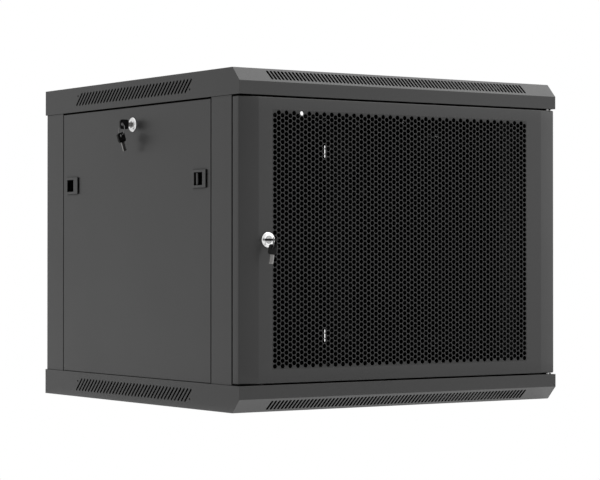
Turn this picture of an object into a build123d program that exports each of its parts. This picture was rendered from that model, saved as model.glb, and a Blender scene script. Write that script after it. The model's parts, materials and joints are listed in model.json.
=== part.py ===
"""Wall-mount 19 inch network cabinet, 9U, 600 wide and 600 deep, one STEP file per sub-part.

Row frame: origin at the centre of the base, +Z up, the door faces -Y, +X is to the right as seen
from the front. All lengths are in millimetres.
"""

import os

from build123d import *

# ---------------------------------------------------------------- driving dimensions
WIDTH = 600.0
DEPTH = 600.0
CAP_HEIGHT = 40.0          # top and bottom trays
OPENING_HEIGHT = 423.4     # clear height between the trays
HEIGHT = OPENING_HEIGHT + 2 * CAP_HEIGHT
SHEET = 1.5                # frame sheet
CUT = 4.0                  # how far a cutter reaches past the sheet it cuts
SKIN = 1.2                 # door and side panel sheet
CHAMFER_DEPTH = 18.8       # slanted front edge of both trays, along Y
CHAMFER_HEIGHT = 20.2      # the same, along Z

RACK_UNITS = 9
UNIT = 44.45
RAIL_HOLE_X = 232.55       # 465.1 mm between the hole lines of a 19 inch rack
RAIL_INNER_X = 225.0       # 450 mm clear opening
RAIL_OUTER_X = 260.0
CAGE_HOLE = 9.5

MID_Z = HEIGHT / 2
LOW = CAP_HEIGHT                   # bottom of the opening
HIGH = HEIGHT - CAP_HEIGHT         # top of the opening
FRONT = -DEPTH / 2
BACK = DEPTH / 2
SIDE = WIDTH / 2

POST_FACE = 299.0          # outer face of posts and side panels
FRONT_POST = (-277.2, -222.0)
REAR_POST = (239.6, 295.5)
RETURN_X = 275.0           # inner end of the returns beside the side panel
FRONT_RETURN_X = 266.0     # inner end of the return behind the door
REAR_RETURN_X = 270.0      # inner end of the return at the wall

WALL_HOLE_X = 288.0        # holes for the wall screws, through the rear posts and the rear panel
WALL_HOLE_RISE = 165.0     # above and below mid height
WALL_HOLE_R = 5.0
REAR_SLOT_X = 266.2        # upright slots in the rear panel
REAR_SLOT_RISE = 167.0
REAR_SLOT = (22.0, 2.6)

PANEL_Y = (-219.7, 237.6)
PANEL_Z = (40.7, 460.6)
PANEL_FLANGE = 11.0

DOOR_Z = (42.3, 461.0)
DOOR_EDGE_X = 299.0
BEVEL_X = (-266.6, 269.9)  # where the flat front turns into the side bevels
BEVEL_Y = -296.8
DOOR_BACK = -280.6
HINGE_X = 291.0
HINGE_Y = -289.0
PIN_R = 3.0
PIN_PLAY = 0.05
BRACE_Z = (80.0, 405.0)    # stiffeners behind the side bevels of the door

MESH_COLUMNS = 71
MESH_PITCH_X = 6.77
MESH_CENTRE_X = -1.3
MESH_Z = (63.0, 442.6)
MESH_ROWS = 4
MESH_SLOT = 4.6
MESH_BRIDGE = 5.0
MESH_MARGIN = 4.0          # from the outer hole line to the edge of the perforated field

LATCH_Z = 343.4
LATCH_FRONT_Y = -208.7     # front end of the front latch cover
LATCH_REAR_Y = 187.0       # front end of the rear latch cover
LATCH_LENGTH = 38.0
LATCH_HEIGHT = 27.0
LATCH_PROUD = 2.4
LATCH_WALL = 1.2
LATCH_SKIRT = 1.8          # from the edge of the cover to the tab that reaches through the panel
FRONT_OPENING = (9.1, 32.7)    # finger opening of the front latch, from the front end of its cover
REAR_OPENING = (13.6, 34.6)
OPENING_HALF = 9.7
FRONT_BAR = (24.0, 28.2)       # finger bar of the front slider, measured the same way
REAR_BAR = (7.0, 11.0)
SLIDER_HALF = 10.3

SIDE_LOCK = (9.8, 433.8)   # y, z of the lock in each side panel
DOOR_LOCK = (-250.5, 252.0)  # x, z of the lock in the door

STRUT_Z = (87.5, 415.9)    # centres of the depth struts
STRUT_HEIGHT = 25.0

FRAME_SCREW_X = 273.0      # screws that join the trays to the side frames
FRAME_SCREW_Y = (-180.0, -60.0, 70.0, 200.0)
SCREW_HOLE_R = 2.6

FRAME_STUD = (-240.0, -262.0)  # x, y of the earthing stud on the frame
DOOR_STUD = (250.0, -287.0)    # x, y of the earthing stud on the door
STUD_R = 3.0
STUD_HOLE_R = 3.05
STUD_NUT_R = 5.5
STUD_NUT_THICK = 5.0


# ---------------------------------------------------------------- helpers
def box(x, y, z):
    """A box from three (low, high) pairs."""
    size = [max(p) - min(p) for p in (x, y, z)]
    centre = [(p[0] + p[1]) / 2 for p in (x, y, z)]
    return Pos(*centre) * Box(*size)


def rod(axis, centre, radius, span):
    """A cylinder along X, Y or Z; centre gives the two other coordinates in order."""
    mid = (span[0] + span[1]) / 2
    length = abs(span[1] - span[0])
    if axis == "X":
        return Pos(mid, *centre) * Rot(0, 90, 0) * Cylinder(radius, length)
    if axis == "Y":
        return Pos(centre[0], mid, centre[1]) * Rot(90, 0, 0) * Cylinder(radius, length)
    return Pos(*centre, mid) * Cylinder(radius, length)


def prism_x(points, x):
    """A prism along X with a polygon given as (y, z) pairs."""
    wire = Polyline(*[(x[0], y, z) for y, z in points], close=True)
    return Solid.extrude(Face(Wire(wire.edges())), Vector(x[1] - x[0], 0, 0))


def prism_z(points, z):
    """A prism along Z with a polygon given as (x, y) pairs."""
    wire = Polyline(*[(x, y, z[0]) for x, y in points], close=True)
    return Solid.extrude(Face(Wire(wire.edges())), Vector(0, 0, z[1] - z[0]))


def obround(length, width, depth):
    """A round-ended slot cutter, long axis X, cutting along Z, centred on the origin."""
    return extrude(SlotOverall(length, width), depth / 2, both=True)


def other_side(part):
    """The same part on the other side of the cabinet."""
    return mirror(part, Plane.YZ)


def upside_down(part):
    """The same part mirrored about the middle height."""
    return mirror(part, Plane.XY.offset(MID_Z))


def save(name, shape):
    """Write one sub-part."""
    if isinstance(shape, (list, tuple)):
        shape = Compound(children=list(shape))
    shape.label = name
    export_step(shape, f"parts/{name}.step")


# ---------------------------------------------------------------- trays (top and bottom caps)
CHAMFER_SLOTS = 75
CHAMFER_PITCH = 6.485
CHAMFER_CENTRE_X = -1.2
CHAMFER_SLOT = (19.0, 4.0)
CHAMFER_LEAN = 9.0
SIDE_SLOTS = 35
SIDE_PITCH = 10.0
SIDE_SLOT = (28.4, 3.6)
SIDE_SLOT_CENTRE_Y = 12.4
SIDE_DOT_OFFSET = 5.5      # the small round hole in the empty corner at each end of the row
SIDE_DOT_R = 1.7
SIDE_SLOT_RISE = 20.0      # middle of the row, from the outer edge of the tray
ENTRY_X = 110.0
ENTRY_Y = (195.0, 270.0)
COVER_LAP = 11.0           # of the cable entry cover over the edge of its opening
FAN_PITCH = 105.0
FAN_X = 105.0
FAN_Y = 20.0
FAN_RADIUS = 54.0          # of the round field of slots over each fan place
AIR_OPENING_R = 56.0       # end radius of the long air openings in the inner plates
FAN_SLOT_PITCH = 9.5
FAN_SLOTS = 11
FAN_SLOT_WIDTH = 5.0
FAN_SCREW_R = 2.25
SPARE_HOLE = (218.0, 486.6)    # x, z of the round hole in the rear wall of the top tray
SPARE_HOLE_R = 4.2


def tray_shell():
    """Bottom tray: a closed sheet box with an air and a cable opening in its upper plate."""
    bevel = FRONT + CHAMFER_DEPTH
    outer = prism_x(
        [(FRONT, LOW), (FRONT, CHAMFER_HEIGHT), (bevel, 0), (BACK, 0), (BACK, LOW)],
        (-SIDE, SIDE),
    )
    s = SHEET
    ease = 0.45 * s            # keeps the slanted sheet as thick as the rest
    inner = prism_x(
        [
            (FRONT + s, LOW - s),
            (FRONT + s, CHAMFER_HEIGHT + ease),
            (bevel + ease, s),
            (BACK - s, s),
            (BACK - s, LOW - s),
        ],
        (-SIDE + s, SIDE - s),
    )
    plate = (LOW - CUT, LOW + CUT)
    air = obround(2 * (FAN_X + AIR_OPENING_R), 2 * AIR_OPENING_R, 2 * CUT)
    cable = box((-ENTRY_X, ENTRY_X), ENTRY_Y, plate)
    return outer - inner - Pos(0, FAN_Y, LOW) * air - cable


def chamfer_slots():
    """Leaning slots in the slanted front edge of the bottom tray."""
    slope = Plane(
        origin=(0, FRONT + CHAMFER_DEPTH / 2, CHAMFER_HEIGHT / 2),
        x_dir=(1, 0, 0),
        z_dir=(0, -CHAMFER_HEIGHT, -CHAMFER_DEPTH),
    )
    cutter = Rot(0, 0, 90 - CHAMFER_LEAN) * obround(*CHAMFER_SLOT, CUT + 2)
    middle = (CHAMFER_SLOTS - 1) / 2
    return [
        slope * Pos(CHAMFER_CENTRE_X + (i - middle) * CHAMFER_PITCH, 0, 0) * cutter
        for i in range(CHAMFER_SLOTS)
    ]


def side_slots(z):
    """45 degree slots and the two corner dots in one side wall, left side of the cabinet."""
    cuts = []
    middle = (SIDE_SLOTS - 1) / 2
    for i in range(SIDE_SLOTS):
        y = SIDE_SLOT_CENTRE_Y + (i - middle) * SIDE_PITCH
        wall = Plane(origin=(-SIDE, y, z), x_dir=(0, -1, 0), z_dir=(-1, 0, 0))
        cuts.append(wall * Rot(0, 0, 45) * obround(*SIDE_SLOT, CUT + 2))
    reach = (middle + 1) * SIDE_PITCH
    for sign in (-1, 1):
        y = SIDE_SLOT_CENTRE_Y + sign * (reach - SIDE_DOT_OFFSET)
        dot = (y, z + sign * SIDE_DOT_OFFSET)
        cuts.append(rod("X", dot, SIDE_DOT_R, (-SIDE - CUT, -SIDE + CUT)))
    return cuts


def fan_field(cx):
    """Slots and four screw holes for one roof fan."""
    cuts = []
    middle = (FAN_SLOTS - 1) / 2
    for i in range(FAN_SLOTS):
        dy = (i - middle) * FAN_SLOT_PITCH
        length = 2 * (FAN_RADIUS ** 2 - dy ** 2) ** 0.5
        cuts.append(Pos(cx, FAN_Y + dy, HEIGHT) * obround(length, FAN_SLOT_WIDTH, 2 * CUT))
    for dx in (-1, 1):
        for dy in (-1, 1):
            spot = (cx + dx * FAN_PITCH / 2, FAN_Y + dy * FAN_PITCH / 2)
            cuts.append(rod("Z", spot, FAN_SCREW_R, (HEIGHT - CUT, HEIGHT + CUT)))
    return cuts


def frame_screw_points():
    """Where screws join a tray to the side frames, left side."""
    return [(-FRAME_SCREW_X, y) for y in FRAME_SCREW_Y]


def build_trays():
    shell = tray_shell()
    shell = shell - chamfer_slots()
    plate = (LOW - CUT, LOW + CUT)
    holes = []
    for x, y in frame_screw_points():
        holes += [rod("Z", (sx, y), SCREW_HOLE_R, plate) for sx in (x, -x)]
    entry = box((-ENTRY_X, ENTRY_X), ENTRY_Y, (-CUT, CUT))
    pin_hole = rod("Z", (HINGE_X, HINGE_Y), PIN_R + PIN_PLAY, plate)
    shell = shell - holes - entry - pin_hole
    stud_hole = rod("Z", FRAME_STUD, STUD_HOLE_R, plate)

    left = side_slots(SIDE_SLOT_RISE)
    bottom = shell - left - [other_side(c) for c in left] - stud_hole
    save("bottom_cap", bottom)

    upper = upside_down(shell)
    left = side_slots(HEIGHT - SIDE_SLOT_RISE)
    upper = upper - left - [other_side(c) for c in left]
    spare = rod("Y", SPARE_HOLE, SPARE_HOLE_R, (BACK - CUT, BACK + CUT))
    save("top_cap", upper - fan_field(-FAN_X) - fan_field(FAN_X) - spare)

    width = (-ENTRY_X - COVER_LAP, ENTRY_X + COVER_LAP)
    depth = (ENTRY_Y[0] - COVER_LAP, ENTRY_Y[1] + COVER_LAP)
    cover = box(width, depth, (SHEET, SHEET + SKIN))
    save("cable_cover_bottom", cover)
    save("cable_cover_top", upside_down(cover))


# ---------------------------------------------------------------- side frames
BEAM_FACE = 285.0          # outer face of the beams between the posts
BEAM_INNER = 263.0
BEAM_HEIGHT = 18.4
REAR_PANEL_X = 297.0
KEEPER_X = (-294.0, -280.0)    # openings in the post returns that take the latch bolts
KEEPER_HALF = 11.0


def build_side_frames():
    f0, f1 = FRONT_POST
    r0, r1 = REAR_POST
    face = (-POST_FACE, -POST_FACE + SHEET)
    z = (LOW, HIGH)
    frame = box(face, FRONT_POST, z)
    frame += box((-POST_FACE, -FRONT_RETURN_X), (f0, f0 + SHEET), z)
    frame += box((-POST_FACE, -RETURN_X), (f1 - SHEET, f1), z)
    frame += box(face, REAR_POST, z)
    frame += box((-POST_FACE, -RETURN_X), (r0, r0 + SHEET), z)
    frame += box((-POST_FACE, -REAR_RETURN_X), (r1 - SHEET, r1), z)
    beam = (f1 - SHEET, r0 + SHEET)
    for edge, sign in ((LOW, 1), (HIGH, -1)):
        frame += box((-BEAM_FACE, -BEAM_FACE + SHEET), beam, (edge, edge + sign * BEAM_HEIGHT))
        frame += box((-BEAM_FACE, -BEAM_INNER), beam, (edge, edge + sign * SHEET))
    keeper = (LATCH_Z - KEEPER_HALF, LATCH_Z + KEEPER_HALF)
    for y in (f1, r0):
        frame -= box(KEEPER_X, (y - CUT, y + CUT), keeper)
    for z_hole in (MID_Z - WALL_HOLE_RISE, MID_Z + WALL_HOLE_RISE):
        frame -= rod("Y", (-WALL_HOLE_X, z_hole), WALL_HOLE_R, (r1 - CUT, r1 + CUT))
    for x, y in frame_screw_points():
        for edge in z:
            frame -= rod("Z", (x, y), SCREW_HOLE_R, (edge - CUT, edge + CUT))
    save("side_frame_left", frame)
    save("side_frame_right", other_side(frame))


def build_rear_panel():
    panel = box((-REAR_PANEL_X, REAR_PANEL_X), (REAR_POST[1], REAR_POST[1] + SHEET), (LOW, HIGH))
    upright = Rot(90, 0, 0) * Rot(0, 0, 90) * obround(*REAR_SLOT, 2 * CUT)
    for x_sign in (-1, 1):
        for z_sign in (-1, 1):
            hole = (x_sign * WALL_HOLE_X, MID_Z + z_sign * WALL_HOLE_RISE)
            panel -= rod("Y", hole, WALL_HOLE_R, (BACK - 2 * CUT, BACK))
            slot = (x_sign * REAR_SLOT_X, REAR_POST[1], MID_Z + z_sign * REAR_SLOT_RISE)
            panel -= Pos(*slot) * upright
    save("rear_panel", panel)


PAN_SHANK_R = 2.5
PAN_HEAD_R = 4.6
PAN_HEAD_THICK = 2.6
PAN_REACH = 5.0            # how far the shank reaches into the tray


def pan_screw(axis, centre, tip, seat, outward):
    """An M5 pan-head screw: shank from tip to seat, head standing on the seat."""
    head = (seat, seat + outward * PAN_HEAD_THICK)
    return rod(axis, centre, PAN_SHANK_R, (tip, seat)) + rod(axis, centre, PAN_HEAD_R, head)


def build_frame_screws():
    screws = []
    for x, y in frame_screw_points():
        for sx in (x, -x):
            screws.append(pan_screw("Z", (sx, y), LOW - PAN_REACH, LOW + SHEET, 1))
            screws.append(pan_screw("Z", (sx, y), HIGH + PAN_REACH, HIGH - SHEET, -1))
    save("frame_screws", screws)


# ---------------------------------------------------------------- 19 inch rails and depth struts
FRONT_RAIL_Y = -250.0
REAR_RAIL_Y = 232.0
RAIL_BOLT_Y = {"front": -230.0, "rear": 217.0}
STRUT_END_Y = (FRONT_POST[0] + SHEET, REAR_POST[0])
STRUT_FLANGE = 12.0
STRUT_FOOT = 30.0
RAIL_HALF = 204.0
RAIL_SHEET = 2.0
RAIL_FLANGE = 30.0
UNIT_HOLES = (6.35, 22.225, 38.1)  # from the lower edge of each rack unit
BOLT_R = 3.0
BOLT_HOLE_R = 3.1
BOLT_ACROSS = 10.0
BOLT_HEAD = 4.0
BOLT_REACH = 8.0


def rail(face_y, inward):
    """Left rail: a face with square holes and a side flange pointing into the cabinet."""
    z = (MID_Z - RAIL_HALF, MID_Z + RAIL_HALF)
    face = (face_y, face_y + inward * RAIL_SHEET)
    body = box((-RAIL_OUTER_X, -RAIL_INNER_X), face, z)
    side = (-RAIL_OUTER_X, -RAIL_OUTER_X + RAIL_SHEET)
    body += box(side, (face_y, face_y + inward * RAIL_FLANGE), z)
    holes = []
    start = MID_Z - RACK_UNITS * UNIT / 2
    for unit in range(RACK_UNITS):
        for offset in UNIT_HOLES:
            zc = start + unit * UNIT + offset
            half = CAGE_HOLE / 2
            holes.append(
                box(
                    (-RAIL_HOLE_X - half, -RAIL_HOLE_X + half),
                    (face_y - CUT, face_y + CUT),
                    (zc - half, zc + half),
                )
            )
    return body - holes


def strut_bolt_holes(ys):
    through = (-RAIL_OUTER_X - CUT, -RAIL_OUTER_X + CUT)
    return [rod("X", (y, z), BOLT_HOLE_R, through) for y in ys for z in STRUT_Z]


def hex_bolt(y, z, tip, seat, outward):
    """An M6 hexagon bolt along X."""
    hexagon = RegularPolygon(BOLT_ACROSS / 2, 6, major_radius=False)
    head = extrude(hexagon, BOLT_HEAD / 2, both=True)
    head = Pos(seat + outward * BOLT_HEAD / 2, y, z) * Rot(0, 90, 0) * head
    return rod("X", (y, z), BOLT_R, (tip, seat)) + head


def build_rails():
    front = rail(FRONT_RAIL_Y, 1) - strut_bolt_holes([RAIL_BOLT_Y["front"]])
    rear = rail(REAR_RAIL_Y, -1) - strut_bolt_holes([RAIL_BOLT_Y["rear"]])
    save("rail_front_left", front)
    save("rail_front_right", other_side(front))
    save("rail_rear_left", rear)
    save("rail_rear_right", other_side(rear))

    half = STRUT_HEIGHT / 2
    low, high = STRUT_Z[0] - half, STRUT_Z[0] + half
    near, far = STRUT_END_Y
    outer = -RAIL_OUTER_X
    strut = box((outer - SHEET, outer), STRUT_END_Y, (low, high))
    strut += box((outer - STRUT_FLANGE, outer), STRUT_END_Y, (low, low + SHEET))
    strut += box((outer - STRUT_FLANGE, outer), STRUT_END_Y, (high - SHEET, high))
    strut += box((outer - STRUT_FOOT, outer), (near, near + SHEET), (low, high))
    strut += box((outer - STRUT_FOOT, outer), (far - SHEET, far), (low, high))
    strut -= strut_bolt_holes(RAIL_BOLT_Y.values())
    high_strut = Pos(0, 0, STRUT_Z[1] - STRUT_Z[0]) * strut
    save("strut_lower_left", strut)
    save("strut_upper_left", high_strut)
    save("strut_lower_right", other_side(strut))
    save("strut_upper_right", other_side(high_strut))

    bolts = []
    for z in STRUT_Z:
        for y in RAIL_BOLT_Y.values():
            bolts.append(hex_bolt(y, z, outer - BOLT_REACH, outer + RAIL_SHEET, 1))
    save("rail_bolts", bolts + [other_side(b) for b in bolts])


# ---------------------------------------------------------------- door
BRACE_X = (-294.0, -274.0)
BRACE_BACK = -283.8
BRACE_OUTER_Y = -292.5     # front edge of the flange next to the door return
BRACE_INNER_Y = -297.1     # front edge of the flange next to the flat front


def door_outline(inset):
    """Plan of the door skin: flat front, bevelled sides, straight returns."""
    e = DOOR_EDGE_X - inset
    return [
        (BEVEL_X[0] + 0.1 * inset, FRONT + inset),
        (BEVEL_X[1] - 0.1 * inset, FRONT + inset),
        (e, BEVEL_Y + 0.85 * inset),
        (e, DOOR_BACK),
        (-e, DOOR_BACK),
        (-e, BEVEL_Y + 0.85 * inset),
    ]


def mesh_limits():
    half = (MESH_COLUMNS - 1) / 2 * MESH_PITCH_X + MESH_MARGIN
    return (MESH_CENTRE_X - half, MESH_CENTRE_X + half)


def build_door():
    z0, z1 = DOOR_Z
    outer = prism_z(door_outline(0), DOOR_Z)
    inner = prism_z(door_outline(SKIN), (z0 + SKIN, z1 - SKIN))
    skin = outer - inner
    front = (FRONT - CUT, FRONT + CUT)
    field = (MESH_Z[0] - MESH_MARGIN, MESH_Z[1] + MESH_MARGIN)
    skin -= box(mesh_limits(), front, field)
    for edge in DOOR_Z:
        skin -= rod("Z", (HINGE_X, HINGE_Y), PIN_R + PIN_PLAY, (edge - CUT, edge + CUT))
    skin -= rod("Y", DOOR_LOCK, BARREL_R + PLUG_PLAY, front)
    skin -= rod("Z", DOOR_STUD, STUD_HOLE_R, (z0 - CUT, z0 + CUT))
    save("door_skin", skin)

    plate = box(mesh_limits(), (FRONT, FRONT + SKIN), field)
    step = (MESH_Z[1] - MESH_Z[0] + MESH_BRIDGE) / MESH_ROWS
    slots = []
    for row in range(MESH_ROWS):
        low = MESH_Z[0] + row * step
        for column in range(MESH_COLUMNS):
            x = MESH_CENTRE_X + (column - (MESH_COLUMNS - 1) / 2) * MESH_PITCH_X
            slots.append(
                box(
                    (x - MESH_SLOT / 2, x + MESH_SLOT / 2),
                    front,
                    (low, low + step - MESH_BRIDGE),
                )
            )
    save("door_mesh", plate - slots)

    outer, inner = BRACE_X
    brace = box(BRACE_X, (BRACE_BACK - SKIN, BRACE_BACK), BRACE_Z)
    brace += box((outer, outer + SKIN), (BRACE_OUTER_Y, BRACE_BACK), BRACE_Z)
    brace += box((inner - SKIN, inner), (BRACE_INNER_Y, BRACE_BACK), BRACE_Z)
    save("door_brace_left", brace)
    save("door_brace_right", other_side(brace))


LOWER_PIN_START = 28.0     # the lower pin goes through the inner plate of the bottom tray
PIN_SHOULDER_R = 3.6       # the door stands on this shoulder
PIN_COLLAR_R = 5.5
PAD_X = (294.8, 299.0)     # bearing pads beside the hinge pins
PAD_Y = (-290.0, -277.2)
PAD_THICK = 1.5
HOUSING_X = (-6.0, 5.6)    # of the upper hinge housing, from the hinge line
HOUSING_Y = (-4.2, 4.8)
HOUSING_HEIGHT = 18.0
UPPER_PIN_DROP = 40.0      # how far the spring pin reaches below the door top
SPRING_STOP_R = 4.4
SPRING_STOP_DROP = 30.0
PIN_HANDLE = 16.0          # finger handle at the foot of the spring pin
PIN_HANDLE_HALF = 1.2
PIN_HANDLE_HEIGHT = 4.0


def build_hinges():
    z0, z1 = DOOR_Z
    axis = (HINGE_X, HINGE_Y)
    under = LOW - SHEET
    lower = rod("Z", axis, PIN_R, (LOWER_PIN_START, z0 + 9))
    lower += rod("Z", axis, PIN_SHOULDER_R, (LOW, z0 - 0.2))
    lower += rod("Z", axis, PIN_COLLAR_R, (under - 3, under))
    save("hinge_pin_lower", lower)

    pad = box(PAD_X, PAD_Y, (LOW, LOW + PAD_THICK))
    save("hinge_pads", [pad, upside_down(pad)])

    ceiling = z1 - SKIN
    across = (HINGE_X + HOUSING_X[0], HINGE_X + HOUSING_X[1])
    deep = (HINGE_Y + HOUSING_Y[0], HINGE_Y + HOUSING_Y[1])
    housing = box(across, deep, (ceiling - HOUSING_HEIGHT, ceiling))
    housing -= rod("Z", axis, PIN_R + PIN_PLAY, (ceiling - HOUSING_HEIGHT - CUT, ceiling + CUT))
    save("hinge_housing", housing)

    foot = ceiling - UPPER_PIN_DROP
    stop = ceiling - SPRING_STOP_DROP
    upper = rod("Z", axis, PIN_R, (foot, HIGH + 5.5))
    upper += rod("Z", axis, SPRING_STOP_R, (stop, stop + 3))
    handle_y = (HINGE_Y - PIN_HANDLE_HALF, HINGE_Y + PIN_HANDLE_HALF)
    upper += box((HINGE_X - PIN_HANDLE, HINGE_X), handle_y, (foot, foot + PIN_HANDLE_HEIGHT))
    save("hinge_pin_upper", upper)


# ---------------------------------------------------------------- cam locks and keys
FLANGE_R = 11.4
FLANGE_THICK = 2.0
COLLAR_R = 8.2             # raised middle of the lock face
BARREL_R = 8.0
PLUG_R = 5.5
PLUG_PLAY = 0.05
NUT_ACROSS = 24.0
NUT_THICK = 4.0
CAM_WIDTH = 16.0
CAM_THICK = 2.2
CAM_SQUARE = 8.0
CAM_GAP = 0.4              # between the barrel and the cam
SQUARE_LENGTH = 3.4        # of the square end of the plug that turns the cam
END_SCREW_R = 5.6
END_SCREW_THICK = 2.6
KEYWAY = (7.0, 2.2)
KEYWAY_FLOOR = 4.0         # from the inner end of the plug

BOW_LENGTH = 15.0          # black plastic bow of a key
BOW_WIDTH = 15.0
BOW_THICK = 3.0
BOW_HOLE_R = 2.7
BOW_HOLE_INSET = 4.5       # ring hole, from the outer end of the bow
BOW_CORNER_R = 3.5
BLADE_WIDTH = 6.4
BLADE_THICK = 1.8
NOTCH_DEPTH = 0.8
NOTCH_WIDTH = 1.6
NOTCH_PITCH = 3.4
NOTCH_START = 3.0          # from the tip of the blade
SPARE_BLADE = 14.0         # length of the blade below the bow of a spare key
RING_WIRE = 0.6

SIDE_COLLAR = 3.5          # how far the lock face stands proud
SIDE_DEPTH = 16.0
SIDE_CAM = 26.0
SIDE_BOW_ROOT = 8.6        # where the bow of the inserted key starts
SIDE_RING_R = 9.0
SIDE_RING_TILT = 8.0
SIDE_SPARE_TILT = -17.0
SIDE_SPARE_TWIST = 15.0

DOOR_COLLAR = 2.5
DOOR_DEPTH = 26.0
DOOR_CAM = 32.0
DOOR_BOW_ROOT = 3.2
DOOR_RING_R = 7.2
DOOR_RING_REACH = 6.0      # from the ring hole to the middle of the ring, seen from above
DOOR_RING_TURN = 60.0      # of the plane of the ring about the vertical
DOOR_SPARE_TILT = 10.0
DOOR_SPARE_TWIST = 110.0


def lock_parts(collar, depth, cam_length):
    """A cam lock on the origin; +Z points outward and Z = 0 is the outer face of the sheet.

    collar is how far the face stands proud and depth is how far the barrel reaches in.
    Returns the barrel, the nut, the plug with its end screw, and the cam pointing to +X.
    """
    barrel = Cylinder(FLANGE_R, FLANGE_THICK, align=(Align.CENTER, Align.CENTER, Align.MIN))
    barrel = chamfer(barrel.edges().group_by(Axis.Z)[-1], 1.0)
    barrel += rod("Z", (0, 0), COLLAR_R, (0, collar))
    barrel += rod("Z", (0, 0), BARREL_R, (-depth, 0))
    barrel -= rod("Z", (0, 0), PLUG_R + PLUG_PLAY, (-depth - 1, collar + 1))

    hexagon = RegularPolygon(NUT_ACROSS / 2, 6, major_radius=False)
    nut = Pos(0, 0, -SKIN - NUT_THICK) * extrude(hexagon, NUT_THICK)
    nut -= rod("Z", (0, 0), BARREL_R + PLUG_PLAY, (-20, 5))

    half = CAM_SQUARE / 2
    plug = rod("Z", (0, 0), PLUG_R, (-depth, collar))
    square_end = -depth - SQUARE_LENGTH
    plug += box((-half, half), (-half, half), (square_end, -depth))
    wide, narrow = KEYWAY
    keyway_z = (-depth + KEYWAY_FLOOR, collar + 1)
    plug -= box((-wide / 2, wide / 2), (-narrow / 2, narrow / 2), keyway_z)
    plug += rod("Z", (0, 0), END_SCREW_R, (square_end - END_SCREW_THICK, square_end))

    cam_z = (-depth - CAM_GAP - CAM_THICK, -depth - CAM_GAP)
    cam = box((-CAM_WIDTH / 2, cam_length), (-CAM_WIDTH / 2, CAM_WIDTH / 2), cam_z)
    cam = fillet(cam.edges().filter_by(Axis.Z), 4.0)
    half += PLUG_PLAY
    cam -= box((-half, half), (-half, half), (-depth - 4, -depth + 1))
    return barrel, nut, plug, cam


def key_blade(root, tip):
    """A flat blade in the XZ plane with three notches, from its root at the bow to its tip."""
    half = BLADE_WIDTH / 2
    blade = box((-half, half), (-BLADE_THICK / 2, BLADE_THICK / 2), (tip, root))
    for k in range(3):
        low = tip + NOTCH_START + k * NOTCH_PITCH
        blade -= box((half - NOTCH_DEPTH, half + 1), (-2, 2), (low, low + NOTCH_WIDTH))
    return blade


def key_bow(root):
    """The plastic bow, from root outward along +Z, with a hole for the ring."""
    half = BOW_WIDTH / 2
    bow = box((-half, half), (-BOW_THICK / 2, BOW_THICK / 2), (root, root + BOW_LENGTH))
    bow = fillet(bow.edges().filter_by(Axis.Y), BOW_CORNER_R)
    hole = (0, root + BOW_LENGTH - BOW_HOLE_INSET)
    return bow - rod("Y", hole, BOW_HOLE_R, (-BOW_THICK, BOW_THICK))


def build_side_lock(side, keys):
    """Lock of one side panel; side is left or right."""
    y, z = SIDE_LOCK
    place = Pos(-POST_FACE, y, z) * Rot(0, -90, 0)
    barrel, nut, plug, cam = lock_parts(SIDE_COLLAR, SIDE_DEPTH, SIDE_CAM)
    pieces = {
        "barrel": barrel,
        "nut": nut,
        "plug": plug,
        "cam": Rot(0, 0, 90) * cam,
    }
    if keys:
        pieces["key_blade"] = key_blade(SIDE_BOW_ROOT, -SIDE_DEPTH + 6)
        pieces["key_bow"] = key_bow(SIDE_BOW_ROOT)
    for name, shape in pieces.items():
        shape = place * shape
        if side == "right":
            shape = other_side(shape)
        save(f"side_{name}_{side}", shape)


def hanging_key(hang, prefix):
    """A spare key whose ring hole is at the origin of hang."""
    drop = Pos(0, 0, BOW_HOLE_INSET - BOW_LENGTH)
    save(f"{prefix}_spare_bow", hang * drop * key_bow(0))
    save(f"{prefix}_spare_blade", hang * drop * key_blade(0, -SPARE_BLADE))


def build_side_keys():
    y, z = SIDE_LOCK
    hole_x = -POST_FACE - (SIDE_BOW_ROOT + BOW_LENGTH - BOW_HOLE_INSET)
    tilted = Pos(hole_x, y, z) * Rot(0, SIDE_RING_TILT, 0)
    ring = tilted * Pos(0, 0, -SIDE_RING_R) * Rot(0, 90, 0) * Torus(SIDE_RING_R, RING_WIRE)
    save("side_key_ring", ring)
    low_point = (tilted * Pos(0, 0, -2 * SIDE_RING_R)).position
    hanging_key(Pos(low_point) * Rot(0, SIDE_SPARE_TILT, 0) * Rot(0, 0, SIDE_SPARE_TWIST), "side")


def build_door_lock():
    x, z = DOOR_LOCK
    place = Pos(x, FRONT, z) * Rot(90, 0, 0)
    barrel, nut, plug, cam = lock_parts(DOOR_COLLAR, DOOR_DEPTH, DOOR_CAM)
    save("door_lock_barrel", place * barrel)
    save("door_lock_nut", place * nut)
    save("door_lock_plug", place * plug)
    save("door_lock_cam", place * Rot(0, 0, -90) * cam)
    save("door_key_blade", place * key_blade(DOOR_BOW_ROOT, -DOOR_DEPTH + 6))
    save("door_key_bow", place * key_bow(DOOR_BOW_ROOT))


def build_door_keys():
    x, z = DOOR_LOCK
    hole_y = FRONT - (DOOR_BOW_ROOT + BOW_LENGTH - BOW_HOLE_INSET)
    drop = (DOOR_RING_R ** 2 - DOOR_RING_REACH ** 2) ** 0.5
    turned = Pos(x, hole_y, z) * Rot(0, 0, DOOR_RING_TURN)
    ring = turned * Pos(-DOOR_RING_REACH, 0, -drop) * Rot(90, 0, 0) * Torus(DOOR_RING_R, RING_WIRE)
    save("door_key_ring", ring)
    low_point = (turned * Pos(-DOOR_RING_REACH, 0, -drop - DOOR_RING_R)).position
    hang = Pos(low_point) * Rot(0, DOOR_SPARE_TILT, 0)
    hanging_key(hang * Rot(0, 0, DOOR_SPARE_TWIST), "door")


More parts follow.
